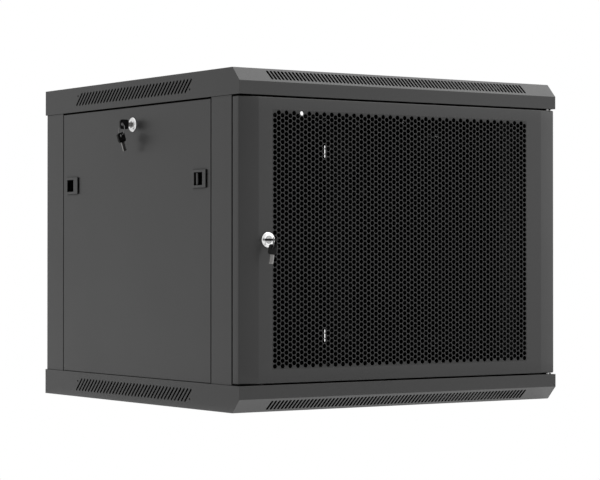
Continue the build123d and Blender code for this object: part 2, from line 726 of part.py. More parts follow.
# ---------------------------------------------------------------- side panels and slide latches
LATCH_TAB = 17.0           # how far the tabs of the cover reach through the panel
SLIDER_X = (3.0, 15.5)     # behind the panel face
SLIDER_FRAME = (3.0, 2.0)  # width of the end and side members of the slider
BAR_PROUD = 1.0            # of the finger bar, outside the panel face
BAR_HALF = 9.0
BOLT_X = 8.0               # outer face of the bolt, behind the panel face
BOLT_HALF = 7.5
BOLT_OVERLAP = 9.0         # of the bolt over the slider frame
FRONT_FRAME = (3.0, 36.5)  # slider frame, from the front end of the cover
REAR_FRAME = (1.5, 34.0)
BOLT_WINDOW_HALF = 10.0    # opening in the panel flange for the bolt
BOLT_WINDOW_X = 6.0


def latch_cover(y0, opening):
    """Raised cover of a slide latch, open at both ends, with a finger opening."""
    out = -POST_FACE
    face = out - LATCH_PROUD
    y = (y0, y0 + LATCH_LENGTH)
    wall = LATCH_WALL
    low, high = LATCH_Z - LATCH_HEIGHT / 2, LATCH_Z + LATCH_HEIGHT / 2
    cover = box((face, face + wall), y, (low, high))
    for edge, sign in ((low, 1), (high, -1)):
        tab = edge + sign * LATCH_SKIRT
        cover += box((face, out), y, (edge, edge + sign * wall))
        cover += box((face, out + LATCH_TAB), y, (tab, tab + sign * wall))
    span = (y0 + opening[0], y0 + opening[1])
    window = (LATCH_Z - OPENING_HALF, LATCH_Z + OPENING_HALF)
    return cover - box((face - 1, face + wall + 0.2), span, window)


def latch_slider(y0, front):
    """Sliding bolt: a frame with a finger bar and the bolt itself, drawn back."""
    out = -POST_FACE
    x = (out + SLIDER_X[0], out + SLIDER_X[1])
    if front:
        bar = (y0 + FRONT_BAR[0], y0 + FRONT_BAR[1])
        nose = (PANEL_Y[0] + 0.7, y0 + BOLT_OVERLAP)
        ring = (y0 + FRONT_FRAME[0], y0 + FRONT_FRAME[1])
    else:
        bar = (y0 + REAR_BAR[0], y0 + REAR_BAR[1])
        nose = (y0 + LATCH_LENGTH - BOLT_OVERLAP, PANEL_Y[1] - 0.6)
        ring = (y0 + REAR_FRAME[0], y0 + REAR_FRAME[1])
    z = (LATCH_Z - SLIDER_HALF, LATCH_Z + SLIDER_HALF)
    end, edge = SLIDER_FRAME
    slider = box(x, ring, z)
    slider -= box((x[0] - 1, x[1] + 1), (ring[0] + end, ring[1] - end), (z[0] + edge, z[1] - edge))
    slider += box((out - BAR_PROUD, x[1]), bar, (LATCH_Z - BAR_HALF, LATCH_Z + BAR_HALF))
    slider += box((out + BOLT_X, x[1]), bar, z)
    slider += box((out + BOLT_X, x[1]), nose, (LATCH_Z - BOLT_HALF, LATCH_Z + BOLT_HALF))
    return slider


def build_side_panels():
    out = -POST_FACE
    y0, y1 = PANEL_Y
    z0, z1 = PANEL_Z
    panel = box((out, out + PANEL_FLANGE), PANEL_Y, PANEL_Z)
    panel -= box((out + SKIN, out + 20), (y0 + SKIN, y1 - SKIN), (z0 + SKIN, z1 - SKIN))
    wall = (out - CUT, out + CUT)
    cuts = [rod("X", SIDE_LOCK, BARREL_R + PLUG_PLAY, wall)]
    half = LATCH_HEIGHT / 2 - LATCH_SKIRT + 0.05
    for start in (LATCH_FRONT_Y, LATCH_REAR_Y):
        z = (LATCH_Z - half, LATCH_Z + half)
        cuts.append(box(wall, (start, start + LATCH_LENGTH), z))
    for y in (y0, y1):
        z = (LATCH_Z - BOLT_WINDOW_HALF, LATCH_Z + BOLT_WINDOW_HALF)
        cuts.append(box((out + BOLT_WINDOW_X, out + 20), (y - CUT, y + CUT), z))
    panel -= cuts
    save("side_panel_left", panel)
    save("side_panel_right", other_side(panel))

    covers = [
        latch_cover(LATCH_FRONT_Y, FRONT_OPENING),
        latch_cover(LATCH_REAR_Y, REAR_OPENING),
    ]
    save("latch_covers_left", covers)
    save("latch_covers_right", [other_side(c) for c in covers])
    for place, start in (("front", LATCH_FRONT_Y), ("rear", LATCH_REAR_Y)):
        slider = latch_slider(start, place == "front")
        save(f"latch_slider_{place}_left", slider)
        save(f"latch_slider_{place}_right", other_side(slider))


def build_earth_studs():
    stud = rod("Z", FRAME_STUD, STUD_R, (LOW - 6, LOW + 14))
    stud += rod("Z", FRAME_STUD, STUD_NUT_R, (LOW, LOW + STUD_NUT_THICK))
    save("earth_stud_frame", stud)
    inside = DOOR_Z[0] + SKIN
    door = rod("Z", DOOR_STUD, STUD_R, (DOOR_Z[0] - 0.6, DOOR_Z[0] + 16))
    door += rod("Z", DOOR_STUD, STUD_NUT_R, (inside, inside + STUD_NUT_THICK))
    save("earth_stud_door", door)


os.makedirs("parts", exist_ok=True)
build_trays()
build_side_frames()
build_rear_panel()
build_frame_screws()
build_rails()
build_door()
build_hinges()
build_door_lock()
build_door_keys()
build_side_lock("left", True)
build_side_lock("right", False)
build_side_keys()
build_side_panels()
build_earth_studs()
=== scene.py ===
"""Looks, lights and camera for the wall-mount network cabinet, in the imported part's frame.

Blender works in metres. Sizes here are in millimetres, apart from the camera's place.
"""
import json
import math

import bpy
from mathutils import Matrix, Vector
from mathutils.geometry import tessellate_polygon

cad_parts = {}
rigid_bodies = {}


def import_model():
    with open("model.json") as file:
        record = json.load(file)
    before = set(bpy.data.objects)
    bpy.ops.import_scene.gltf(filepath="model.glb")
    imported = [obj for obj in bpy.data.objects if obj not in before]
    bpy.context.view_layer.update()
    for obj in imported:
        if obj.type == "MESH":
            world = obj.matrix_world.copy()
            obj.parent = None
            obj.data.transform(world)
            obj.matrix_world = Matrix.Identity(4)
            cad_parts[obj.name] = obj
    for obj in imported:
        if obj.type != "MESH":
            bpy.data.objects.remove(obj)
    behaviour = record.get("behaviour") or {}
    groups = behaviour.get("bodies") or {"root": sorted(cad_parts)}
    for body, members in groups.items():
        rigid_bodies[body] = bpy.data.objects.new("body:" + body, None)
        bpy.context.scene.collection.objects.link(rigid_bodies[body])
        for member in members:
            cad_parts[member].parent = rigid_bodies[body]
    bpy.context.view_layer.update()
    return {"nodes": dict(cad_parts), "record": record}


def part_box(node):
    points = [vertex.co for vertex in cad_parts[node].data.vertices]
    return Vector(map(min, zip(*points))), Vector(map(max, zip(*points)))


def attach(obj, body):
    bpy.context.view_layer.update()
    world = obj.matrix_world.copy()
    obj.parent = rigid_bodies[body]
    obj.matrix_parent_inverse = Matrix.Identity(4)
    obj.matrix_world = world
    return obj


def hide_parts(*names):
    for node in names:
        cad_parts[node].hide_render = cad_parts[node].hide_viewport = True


for old in list(bpy.data.objects):
    bpy.data.objects.remove(old, do_unlink=True)
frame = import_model()
NODES = frame["nodes"]
SLOTS = {subpart["node"]: subpart["material_slot"] for subpart in frame["record"]["subparts"]}
MM = 0.001


def corners_mm(node):
    """Lowest and highest corner of a CAD node, in millimetres."""
    return [[round(c / MM, 2) for c in corner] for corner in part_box(node)]


def middle_mm(node):
    """Middle of the box round a CAD node, in millimetres."""
    low, high = corners_mm(node)
    return [round((a + b) / 2, 2) for a, b in zip(low, high)]


HALF_WIDTH, HALF_DEPTH, HEIGHT = corners_mm("top_cap")[1]
PANEL_FACE = -corners_mm("side_panel_left")[0][0]


# ---------------------------------------------------------------- node helpers
MIX_A, MIX_B, MIX_COLOUR = 6, 7, 2    # places of the colour sockets on a mix node


class Tree:
    """Builds a node tree in code."""

    def __init__(self, node_tree, output):
        self.nodes, self.links = node_tree.nodes, node_tree.links
        self.nodes.clear()
        self.surface = self.add(output).inputs["Surface"]

    def add(self, kind, **values):
        node = self.nodes.new(kind)
        for key, value in values.items():
            setattr(node, key, value)
        return node

    def link(self, start, end):
        self.links.new(start, end)

    def put(self, socket, value):
        """Link a socket to another one, or set its value."""
        if isinstance(value, bpy.types.NodeSocket):
            self.link(value, socket)
        else:
            socket.default_value = value

    def math(self, operation, *values):
        node = self.add("ShaderNodeMath", operation=operation)
        for socket, value in zip(node.inputs, values):
            self.put(socket, value)
        return node.outputs[0]

    def vector(self, operation, *values):
        node = self.add("ShaderNodeVectorMath", operation=operation)
        for socket, value in zip(node.inputs, values):
            self.put(socket, value)
        return node.outputs["Value" if operation in ("DOT_PRODUCT", "LENGTH") else "Vector"]

    def axis(self, vector, letter):
        split = self.add("ShaderNodeSeparateXYZ")
        self.link(vector, split.inputs[0])
        return split.outputs[letter]

    def noise(self, place, scale, detail, rough=0.5):
        node = self.add("ShaderNodeTexNoise")
        self.link(place, node.inputs["Vector"])
        node.inputs["Scale"].default_value = scale
        node.inputs["Detail"].default_value = detail
        node.inputs["Roughness"].default_value = rough
        return node.outputs["Fac"]

    def ramp(self, value, low, high, out_low, out_high):
        """out_low below low, out_high above high, and a smooth step between."""
        node = self.add("ShaderNodeMapRange", interpolation_type="SMOOTHSTEP")
        self.link(value, node.inputs["Value"])
        ends = {"From Min": low, "From Max": high, "To Min": out_low, "To Max": out_high}
        for key, end in ends.items():
            node.inputs[key].default_value = end
        return node.outputs["Result"]

    def mix(self, factor, a, b):
        node = self.add("ShaderNodeMix", data_type="RGBA")
        self.link(factor, node.inputs["Factor"])
        self.put(node.inputs[MIX_A], a)
        self.put(node.inputs[MIX_B], b)
        return node.outputs[MIX_COLOUR]

    def scale(self, colour, factor):
        node = self.add("ShaderNodeVectorMath", operation="SCALE")
        self.put(node.inputs[0], colour[:3] if isinstance(colour, tuple) else colour)
        self.link(factor, node.inputs["Scale"])
        return node.outputs[0]

    def show_camera(self, seen, otherwise):
        """One shader for what the camera sees of this surface, another for the light that it gives."""
        path = self.add("ShaderNodeLightPath")
        mix = self.add("ShaderNodeMixShader")
        self.link(path.outputs["Is Camera Ray"], mix.inputs[0])
        self.link(otherwise.outputs[0], mix.inputs[1])
        self.link(seen.outputs[0], mix.inputs[2])
        self.link(mix.outputs[0], self.surface)


def grey(tone, warm=0.0):
    return (tone * (1 + warm), tone, tone * (1 - warm), 1.0)


# ---------------------------------------------------------------- materials
NOISE_SPAN = (0.3, 0.7)               # most values of a noise lie between these
FACING_SPAN = 4.0                     # a face whose plane passes the middle by this is wholly inner or outer
EDGE_TURN = (0.995, 0.86)             # cosine of the turn of the normal on a face and on a worn edge
OPEN_SPAN = (0.45, 0.92)              # ambient occlusion deep in a gap and on an open face
SHADER_SAMPLES = 4


def new_material(name):
    """A material with its node tree, its Principled shader and its texture coordinates."""
    material = bpy.data.materials.new(name)
    material.use_nodes = True
    tree = Tree(material.node_tree, "ShaderNodeOutputMaterial")
    shader = tree.add("ShaderNodeBsdfPrincipled")
    tree.link(shader.outputs[0], tree.surface)
    return material, tree, shader, tree.add("ShaderNodeTexCoord")


def edge_mask(tree, radius):
    """(rounded normal, mask that goes from 0 on faces to 1 on edges)."""
    bevel = tree.add("ShaderNodeBevel", samples=SHADER_SAMPLES)
    bevel.inputs["Radius"].default_value = radius * MM
    geometry = tree.add("ShaderNodeNewGeometry")
    turn = tree.vector("DOT_PRODUCT", bevel.outputs[0], geometry.outputs["Normal"])
    return bevel.outputs[0], tree.ramp(turn, *EDGE_TURN, 0.0, 1.0)


def recess_shade(tree, reach, darkest):
    """Painted shade: 1 on open faces, down to darkest on the walls of slots, holes and gaps narrower than
    reach.
    """
    occlusion = tree.add("ShaderNodeAmbientOcclusion", samples=SHADER_SAMPLES)
    occlusion.inputs["Distance"].default_value = reach * MM
    return tree.ramp(occlusion.outputs["AO"], *OPEN_SPAN, darkest, 1.0)


def relief(tree, shader, height, normal, strength, depth):
    """Add a fine relief on top of the rounded edges."""
    bump = tree.add("ShaderNodeBump")
    bump.inputs["Strength"].default_value = strength
    bump.inputs["Distance"].default_value = depth * MM
    tree.link(height, bump.inputs["Height"])
    tree.link(normal, bump.inputs["Normal"])
    tree.link(bump.outputs[0], shader.inputs["Normal"])


def powder_coat(name, tone, rough=0.34, inner_shade=0.30, specular=0.5):
    """Fine-textured powder coat: orange peel, speckle, cloudy sheen, and slightly rubbed edges with a
    painted highlight.

    Painted shade: faces that look into the cabinet are darker, by the factor inner_shade, and the walls of
    slots, holes and gaps are darker still.
    """
    material, tree, shader, coord = new_material(name)
    place = coord.outputs["Object"]
    normal, edge = edge_mask(tree, radius=0.7)
    cloud = tree.noise(place, scale=5.0, detail=3.0)
    speckle = tree.noise(place, scale=1900.0, detail=1.0)
    peel = tree.noise(place, scale=950.0, detail=2.0, rough=0.6)

    clouds = tree.ramp(cloud, *NOISE_SPAN, 0.95, 1.05)
    speckles = tree.ramp(speckle, 0.35, 0.75, -0.10, 0.16)
    coat = tree.scale(grey(tone, warm=0.004), tree.math("ADD", clouds, speckles))
    # Lighter edges: slight wear and a painted highlight where the edges catch light.
    rubbed_and_highlit = grey(tone * 2.6)
    colour = tree.mix(tree.math("MULTIPLY", edge, 0.16), coat, rubbed_and_highlit)
    # Painted shade: faces that look into the cabinet, and the walls of slots, holes and gaps, are darkened
    # in colour and specular.
    from_middle = tree.vector("SUBTRACT", place, (0.0, 0.0, HEIGHT / 2 * MM))
    outward = tree.vector("DOT_PRODUCT", from_middle, coord.outputs["Normal"])
    facing = tree.ramp(outward, -FACING_SPAN * MM, FACING_SPAN * MM, inner_shade, 1.0)
    shade = tree.math("MULTIPLY", facing, recess_shade(tree, reach=5.0, darkest=0.06))
    tree.link(tree.scale(colour, shade), shader.inputs["Base Color"])
    tree.link(tree.math("MULTIPLY", shade, specular), shader.inputs["Specular IOR Level"])

    sheen = tree.ramp(cloud, *NOISE_SPAN, rough - 0.03, rough + 0.03)
    roughness = tree.math("ADD", sheen, tree.ramp(peel, *NOISE_SPAN, -0.03, 0.05))
    polish = tree.math("MULTIPLY", edge, 0.06)
    tree.link(tree.math("SUBTRACT", roughness, polish), shader.inputs["Roughness"])
    relief(tree, shader, peel, normal, strength=0.35, depth=0.06)
    return material


def metal(name, tone, rough, warm=0.0, brush=(1.0, 1.0, 1.0), grime=0.12):
    """Plated or polished metal: fine machining lines, small stains, shinier edges.

    brush is the scale of the lines along each axis, so a small number draws them out.
    """
    material, tree, shader, coord = new_material(name)
    place = coord.outputs["Object"]
    normal, edge = edge_mask(tree, radius=0.3)
    stretched = tree.add("ShaderNodeMapping")
    stretched.inputs["Scale"].default_value = brush
    tree.link(place, stretched.inputs["Vector"])
    lines = tree.noise(stretched.outputs[0], scale=1200.0, detail=2.0)
    stain = tree.noise(place, scale=260.0, detail=3.0)

    lined = tree.ramp(lines, *NOISE_SPAN, 0.94, 1.04)
    stained = tree.ramp(stain, 0.35, 0.7, 1.0, 1.0 - grime)
    tint = tree.math("MULTIPLY", lined, stained)
    tree.link(tree.scale(grey(tone, warm), tint), shader.inputs["Base Color"])
    shader.inputs["Metallic"].default_value = 1.0

    dulled = tree.ramp(stain, 0.3, 0.75, rough, rough + 0.12)
    roughness = tree.math("ADD", dulled, tree.ramp(lines, *NOISE_SPAN, -0.02, 0.04))
    polish = tree.math("MULTIPLY", edge, 0.05)
    tree.link(tree.math("SUBTRACT", roughness, polish), shader.inputs["Roughness"])
    relief(tree, shader, lines, normal, strength=0.15, depth=0.03)
    return material


def plastic(name, tone, rough, specular=0.5, pocket=None):
    """Moulded plastic with spark-eroded grain and slightly worn edges with a painted highlight.

    pocket gives the two distances from the middle plane between which it falls dark as painted shade. Slots,
    holes and gaps get painted shade too.
    """
    material, tree, shader, coord = new_material(name)
    place = coord.outputs["Object"]
    normal, edge = edge_mask(tree, radius=0.4)
    grain = tree.noise(place, scale=900.0, detail=2.0)
    blotch = tree.noise(place, scale=60.0, detail=3.0)

    blotches = tree.ramp(blotch, *NOISE_SPAN, 0.92, 1.06)
    grains = tree.ramp(grain, *NOISE_SPAN, 0.92, 1.08)
    moulded = tree.scale(grey(tone), tree.math("MULTIPLY", blotches, grains))
    # Lighter edges: slight wear and a painted highlight where the edges catch light.
    worn_and_highlit = grey(tone * 2.2 + 0.01)
    colour = tree.mix(tree.math("MULTIPLY", edge, 0.18), moulded, worn_and_highlit)
    shade = recess_shade(tree, reach=6.0, darkest=0.04)
    # Painted shade: deep in a latch's recess the plastic falls nearly black.
    if pocket:
        deep, shallow = [distance * MM for distance in pocket]
        outward = tree.math("ABSOLUTE", tree.axis(place, "X"))
        shade = tree.math("MULTIPLY", shade, tree.ramp(outward, deep, shallow, 0.03, 1.0))
    tree.link(tree.scale(colour, shade), shader.inputs["Base Color"])
    tree.link(tree.math("MULTIPLY", shade, specular), shader.inputs["Specular IOR Level"])

    tree.link(tree.ramp(grain, *NOISE_SPAN, rough - 0.05, rough + 0.08), shader.inputs["Roughness"])
    relief(tree, shader, grain, normal, strength=0.3, depth=0.04)
    return material


DOOR_COAT = powder_coat("graphite_coat_on_door", tone=0.014, inner_shade=0.8)
# Painted shade: the webs of the perforated field get a darker, less glossy copy of the door's coat.
SHADED_WEB_COAT = powder_coat("shaded_graphite_coat_on_webs", tone=0.011, rough=0.40, inner_shade=0.8, specular=0.40)
RING_STEEL = metal("key_ring_steel", tone=0.20, rough=0.38)
PLUG_STEEL = metal("lock_plug_steel", tone=0.45, rough=0.16, grime=0.3)
LATCH_POCKET_SHADE = (PANEL_FACE - 1.5, PANEL_FACE + 0.3)    # painted shade: the recess of a latch falls dark on this way in
BY_SLOT = {
    "graphite": powder_coat("graphite_coat", tone=0.014),
    "black_coat": powder_coat("black_coat", tone=0.008, rough=0.45, inner_shade=1.0),
    "zinc": metal("zinc_plate", tone=0.62, rough=0.24, warm=0.01),
    "chrome": metal("polished_chrome", tone=0.86, rough=0.08, grime=0.03),
    "key_steel": metal("nickel_key", tone=0.27, rough=0.32, warm=0.02, brush=(1.0, 1.0, 0.1)),
    "key_plastic": plastic("key_bow_plastic", tone=0.003, rough=0.42, specular=0.22),
    "latch_plastic": plastic("latch_plastic", tone=0.022, rough=0.38, pocket=LATCH_POCKET_SHADE),
}
BY_NODE = {
    "door_key_ring": RING_STEEL,
    "side_key_ring": RING_STEEL,
    "door_lock_plug": PLUG_STEEL,
    "side_plug_left": PLUG_STEEL,
    "side_plug_right": PLUG_STEEL,
}


def coat_cad_pieces():
    for name, node in NODES.items():
        node.data.materials.clear()
        node.data.materials.append(BY_NODE.get(name, BY_SLOT[SLOTS[name]]))


# ---------------------------------------------------------------- rounded folds and rims on the CAD pieces
RIM_BY_SLOT = {
    "graphite": 0.3,
    "black_coat": 0.3,
    "zinc": 0.25,
    "chrome": 0.25,
    "key_steel": 0.15,
    "key_plastic": 0.4,
    "latch_plastic": 0.4,
}
NO_RIM = ("door_key_ring", "side_key_ring", "door_skin", "door_mesh")
WELD = 0.004               # points that are closer become one
RIM_TURN = 35.0            # degrees; an edge that turns more gets a rim
RIM_SEGMENTS = 2


def soften(node, width):
    """Round the edges of a CAD piece by modifiers."""
    weld = node.modifiers.new("weld", "WELD")
    weld.merge_threshold = WELD * MM
    rim = node.modifiers.new("rim", "BEVEL")
    rim.width = width * MM
    rim.segments = RIM_SEGMENTS
    rim.limit_method = "ANGLE"
    rim.angle_limit = math.radians(RIM_TURN)
    rim.use_clamp_overlap = True
    normals = node.modifiers.new("normals", "WEIGHTED_NORMAL")
    normals.keep_sharp = False


def soften_cad_pieces():
    for name, node in NODES.items():
        if name not in NO_RIM:
            soften(node, RIM_BY_SLOT[SLOTS[name]])


# ---------------------------------------------------------------- mesh helpers
POINT_DIGITS = 3           # points that agree to this many decimals are one


class Builder:
    """Collects shared points and faces. mark is the material of the faces to come."""

    def __init__(self):
        self.points, self.index = [], {}
        self.faces, self.marks, self.mark = [], [], 0

    def point(self, place):
        key = tuple(round(c, POINT_DIGITS) for c in place)
        if key not in self.index:
            self.index[key] = len(self.points)
            self.points.append([c * MM for c in place])
        return self.index[key]

    def face(self, *corners):
        """Add a face, leaving out corners that fall together."""
        ids = []
        for corner in corners:
            i = self.point(corner)
            if not ids or i not in (ids[-1], ids[0]):
                ids.append(i)
        if len(ids) > 2:
            self.faces.append(ids)
            self.marks.append(self.mark)

    def as_object(self, name, *materials):
        mesh = bpy.data.meshes.new(name)
        mesh.from_pydata(self.points, [], self.faces)
        mesh.polygons.foreach_set("material_index", self.marks)
        for material in materials:
            mesh.materials.append(material)
        obj = bpy.data.objects.new(name, mesh)
        bpy.context.scene.collection.objects.link(obj)
        return obj


def apply_modifiers(obj, sharp_turn):
    """Turn the modifiers of a piece into mesh. Edges that turn more than sharp_turn degrees stay sharp."""
    depsgraph = bpy.context.evaluated_depsgraph_get()
    mesh = bpy.data.meshes.new_from_object(obj.evaluated_get(depsgraph))
    obj.modifiers.clear()
    obj.data = mesh
    mesh.polygons.foreach_set("use_smooth", [True] * len(mesh.polygons))
    mesh.set_sharp_from_angle(angle=math.radians(sharp_turn))


# ---------------------------------------------------------------- door: one folded, perforated sheet
(_, FRONT_Y, DOOR_LOW), (EDGE_X, BACK_Y, DOOR_HIGH) = corners_mm("door_skin")
THICKNESS = 1.2
FOLD_R, FOLD_STEPS = 1.6, 4        # of the rolled edge along the top and the bottom
BEVEL_Y = -296.8                   # where the side bevels would meet the returns
CREASE_X = {-1: 266.6, 1: 269.9}   # where the flat front turns into each side bevel
CORNER_R, CORNER_STEPS = 2.2, 6    # of the corner between a bevel and its return
CREASE_R, CREASE_STEPS = 8.0, 3    # of the shallow crease between the flat front and a bevel
PLAIN, WEBS = 0, 1                 # materials of the sheet; the webs get a darker copy of the coat as painted shade

MESH_X, _, STAND_IN_Z = middle_mm("door_mesh")
HOLES_DROP = 0.07                  # the holes lie this little below the middle of their stand-in
MESH_Z = round(STAND_IN_Z - HOLES_DROP, 2)
HOLE_COLUMNS, HOLE_ROWS = 71, 48
PITCH_X, PITCH_Z = 6.77, 7.81
HOLE_R = 3.52
HOLE_POINTS = 18
FIELD_RIM = 1.0                    # plain sheet above and below the cells

LOCK_X, _, LOCK_Z = middle_mm("door_lock_nut")
LOCK_R, LOCK_POINTS = 7.5, 36      # of the hole for the lock barrel
LOCK_PATCH = 12.0                  # the stretch of sheet round it reaches at most this far up and down

# Each hole sits in a hexagonal cell of sheet, and every other column stands half a pitch higher. PITCH_X is
# a little over 1.5 * HEX_R, so hairline seams of 0.006 mm stay open between the cells of two columns.
HEX_R = PITCH_Z / math.sqrt(3)
HALF_PITCH = PITCH_Z / 2
HEXAGON = (
    (HEX_R, 0),
    (HEX_R / 2, HALF_PITCH),
    (-HEX_R / 2, HALF_PITCH),
    (-HEX_R, 0),
    (-HEX_R / 2, -HALF_PITCH),
    (HEX_R / 2, -HALF_PITCH),
)
RIGHT_IDS, TOP_IDS, LEFT_IDS, BOTTOM_IDS = (5, 0, 1), (1, 2), (2, 3, 4), (4, 5)
FIRST_X = MESH_X - (HOLE_COLUMNS - 1) / 2 * PITCH_X
FIRST_Z = MESH_Z - (HOLE_ROWS - 1) / 2 * PITCH_Z - PITCH_Z / 4
FIELD_LEFT, FIELD_RIGHT = FIRST_X - HEX_R, -FIRST_X + 2 * MESH_X + HEX_R
FIELD_LOW = FIRST_Z - HALF_PITCH - FIELD_RIM
FIELD_HIGH = FIRST_Z + PITCH_Z * HOLE_ROWS + FIELD_RIM
EDGE_DIGITS = 6                    # of the places along the field's edges


def hexagon(i, j):
    """Centre and corners of the cell in column i, row j. Those on the rim lie on the field's edge."""
    centre_x = FIRST_X + i * PITCH_X
    centre_z = FIRST_Z + j * PITCH_Z + (HALF_PITCH if i % 2 else 0)
    corners = []
    for k, (dx, dz) in enumerate(HEXAGON):
        x, z = centre_x + dx, centre_z + dz
        if i == 0 and k in LEFT_IDS:
            x = FIELD_LEFT
        if i == HOLE_COLUMNS - 1 and k in RIGHT_IDS:
            x = FIELD_RIGHT
        if j == 0 and i % 2 == 0 and k in BOTTOM_IDS:
            z = FIELD_LOW
        if j == HOLE_ROWS - 1 and i % 2 and k in TOP_IDS:
            z = FIELD_HIGH
        corners.append((x, z))
    return (centre_x, centre_z), corners


def divide(start, end):
    """Points from start up to but without end, as many as a side of a hexagon has."""
    count = HOLE_POINTS // len(HEXAGON)
    (x, z), (end_x, end_z) = start, end
    return [(x + (end_x - x) * k / count, z + (end_z - z) * k / count) for k in range(count)]


def perforate(sheet):
    """All cells with their holes. Returns the heights and the places of the points on the field's edges."""
    rows, columns = {FIELD_LOW, FIELD_HIGH}, {FIELD_LEFT, FIELD_RIGHT}
    turns = [2 * math.pi * k / HOLE_POINTS for k in range(HOLE_POINTS + 1)]
    same = 10 ** -EDGE_DIGITS
    for i in range(HOLE_COLUMNS):
        for j in range(HOLE_ROWS):
            (cx, cz), corners = hexagon(i, j)
            ring = []
            for k in range(len(corners)):
                ring += divide(corners[k], corners[(k + 1) % len(corners)])
            hole = [(cx + HOLE_R * math.cos(a), FRONT_Y, cz + HOLE_R * math.sin(a)) for a in turns]
            for k in range(HOLE_POINTS):
                (x, z), (next_x, next_z) = ring[k], ring[(k + 1) % HOLE_POINTS]
                sheet.face((x, FRONT_Y, z), (next_x, FRONT_Y, next_z), hole[k + 1], hole[k])
            for x, z in ring:
                if abs(x - FIELD_LEFT) < same:
                    rows.add(round(z, EDGE_DIGITS))
                if abs(z - FIELD_LOW) < same or abs(z - FIELD_HIGH) < same:
                    columns.add(round(x, EDGE_DIGITS))
    return sorted(rows), sorted(columns)


def close_short_ends(sheet):
    """Fill the gap that each column leaves at one end: even columns at the top, odd ones at the bottom."""
    for i in range(HOLE_COLUMNS):
        at_top = i % 2 == 0
        row, edge = (HOLE_ROWS - 1, FIELD_HIGH) if at_top else (0, FIELD_LOW)
        left_id, right_id = (2, 1) if at_top else (4, 5)
        _, corners = hexagon(i, row)
        left, right = corners[left_id], corners[right_id]
        line = divide(left, right)
        if i + 1 < HOLE_COLUMNS:
            _, following = hexagon(i + 1, row)
            line += divide(right, following[left_id]) + [following[left_id]]
        else:
            line += [right, (FIELD_RIGHT, edge)]
        if i > 0:
            _, previous = hexagon(i - 1, row)
            line += divide(previous[right_id], left)
        else:
            line += [(FIELD_LEFT, edge)]
        if not at_top:
            line.reverse()
        sheet.face(*[(x, FRONT_Y, z) for x, z in line])


def side_path(sign):
    """Plan of one side of the sheet from the back of its return to the flat front: (x, y, nx, ny)."""
    bevel_x = CREASE_X[sign]
    slope = math.atan2(BEVEL_Y - FRONT_Y, EDGE_X - bevel_x)
    corner_x = EDGE_X - CORNER_R
    corner_y = FRONT_Y + (corner_x - bevel_x) * math.tan(slope) + CORNER_R / math.cos(slope)
    path = [(EDGE_X, BACK_Y, 1.0, 0.0), (EDGE_X, (BACK_Y + corner_y) / 2, 1.0, 0.0)]
    for k in range(CORNER_STEPS + 1):
        a = (math.pi / 2 - slope) * k / CORNER_STEPS
        nx, ny = math.cos(a), -math.sin(a)
        path.append((corner_x + CORNER_R * nx, corner_y + CORNER_R * ny, nx, ny))
    crease_x = bevel_x - CREASE_R * math.tan(slope / 2)
    crease_y = FRONT_Y + CREASE_R
    for k in range(CREASE_STEPS + 1):
        a = slope * (1 - k / CREASE_STEPS)
        nx, ny = math.sin(a), -math.cos(a)
        path.append((crease_x + CREASE_R * nx, crease_y + CREASE_R * ny, nx, ny))
    return [(sign * x, y, sign * nx, ny) for x, y, nx, ny in path]


def sheet_levels(rows):
    """(height, inset) of each level of the sheet: rolled lower edge, flat, rolled upper edge."""
    turns = [math.pi / 2 * (1 - k / FOLD_STEPS) for k in range(FOLD_STEPS + 1)]
    lower = [(DOOR_LOW + FOLD_R * (1 - math.sin(a)), FOLD_R * (1 - math.cos(a))) for a in turns]
    upper = [(DOOR_LOW + DOOR_HIGH - z, inset) for z, inset in reversed(lower)]
    return lower + [(z, 0.0) for z in rows] + upper


def lock_patch(sheet, outline):
    """A flat stretch of sheet with the round hole for the lock barrel."""
    turns = [2 * math.pi * k / LOCK_POINTS for k in range(LOCK_POINTS)]
    hole = [(LOCK_X + LOCK_R * math.cos(a), FRONT_Y, LOCK_Z + LOCK_R * math.sin(a)) for a in turns]
    points = outline + hole
    for triangle in tessellate_polygon([[Vector(p) for p in outline], [Vector(p) for p in hole]]):
        a, b, c = [Vector(points[k]) for k in triangle]
        to_front = (b - a).cross(c - a).y < 0
        sheet.face(*[points[k] for k in (triangle if to_front else reversed(triangle))])


def door_sheet():
    """The skin of the door and its perforated field, drawn as their outer face and made thick."""
    sheet = Builder()
    sheet.mark = WEBS
    rows, columns = perforate(sheet)
    close_short_ends(sheet)

    sheet.mark = PLAIN
    left, right = side_path(-1), side_path(1)[::-1]
    plan = left + [(x, FRONT_Y, 0.0, -1.0) for x in columns] + right
    levels = sheet_levels(rows)
    first_column, first_row = len(left), FOLD_STEPS + 1
    field_columns = range(first_column, first_column + len(columns) - 1)
    field_rows = range(first_row, first_row + len(rows) - 1)
    lock_column = first_column - 1
    lock_rows = [r for r in field_rows if abs(levels[r][0] - LOCK_Z) < LOCK_PATCH]

    def at(column, row):
        x, y, nx, ny = plan[column]
        z, inset = levels[row]
        return (x - nx * inset, y - ny * inset, z)

    for c in range(len(plan) - 1):
        for r in range(len(levels) - 1):
            in_field = c in field_columns and r in field_rows
            at_lock = c == lock_column and lock_rows[0] <= r < lock_rows[-1]
            if not in_field and not at_lock:
                sheet.face(at(c, r), at(c + 1, r), at(c + 1, r + 1), at(c, r + 1))
    up = [at(lock_column, r) for r in lock_rows]
    down = [at(first_column, r) for r in reversed(lock_rows)]
    lock_patch(sheet, up + down)
    sheet.face(*[at(c, len(levels) - 1) for c in range(len(plan))])
    sheet.face(*[at(c, 0) for c in reversed(range(len(plan)))])

    obj = sheet.as_object("door_sheet", DOOR_COAT, SHADED_WEB_COAT)
    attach(obj, "door")
    thick = obj.modifiers.new("sheet", "SOLIDIFY")
    thick.thickness = THICKNESS * MM
    thick.offset = -1.0
    thick.use_even_offset = True
    apply_modifiers(obj, sharp_turn=32.0)
    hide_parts("door_skin", "door_mesh")


# ---------------------------------------------------------------- studio
SKY = (1.0, 1.3)           # strength at the horizon and overhead
DARKEST_SKY = 0.03
